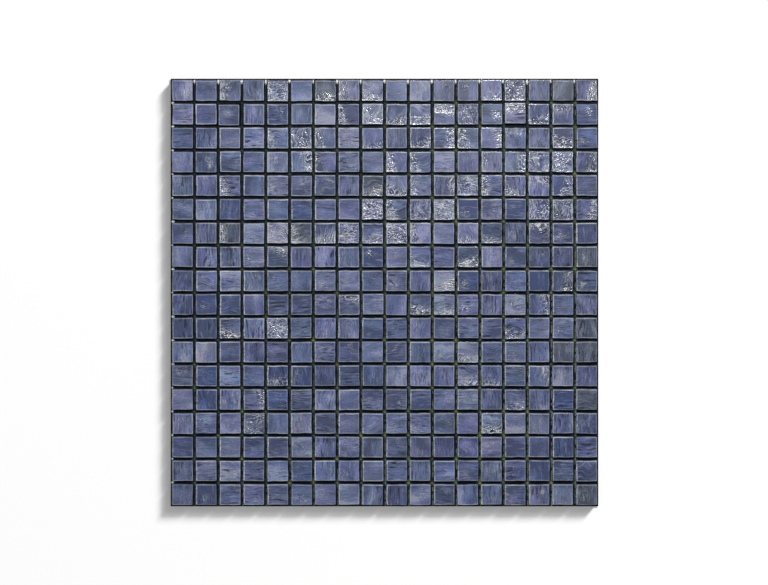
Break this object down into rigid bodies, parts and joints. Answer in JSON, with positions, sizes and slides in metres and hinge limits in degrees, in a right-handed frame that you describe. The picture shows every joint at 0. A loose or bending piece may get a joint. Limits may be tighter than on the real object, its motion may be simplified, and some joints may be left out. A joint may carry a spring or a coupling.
{
  "type": "mosaic tile sheet",
  "caption": "Square mosaic sheet of small blue glass tiles in a straight grid, glued face up to a backing net.",
  "frame": {"origin": "middle of the underside, on the plane that the backing net rests on", "axes": "+Z out of the tile faces, +Y towards the first row of tiles (the top of the picture), +X to the right of the picture"},
  "size_m": [0.2954, 0.2954, 0.0046],
  "materials": {
    "tile_glass": "gloss",
    "glue": "satin",
    "net_yarn": "matte"
  },
  "bodies": {
    "root": {"net_yarns_lengthwise": "net_yarn", "net_yarns_crosswise": "net_yarn", "glue_film": "glue", "tile_row_01": "tile_glass", "tile_row_02": "tile_glass", "tile_row_03": "tile_glass", "tile_row_04": "tile_glass", "tile_row_05": "tile_glass", "tile_row_06": "tile_glass", "tile_row_07": "tile_glass", "tile_row_08": "tile_glass", "tile_row_09": "tile_glass", "tile_row_10": "tile_glass", "tile_row_11": "tile_glass", "tile_row_12": "tile_glass", "tile_row_13": "tile_glass", "tile_row_14": "tile_glass", "tile_row_15": "tile_glass", "tile_row_16": "tile_glass", "tile_row_17": "tile_glass", "tile_row_18": "tile_glass"}
  },
  "joints": []
}
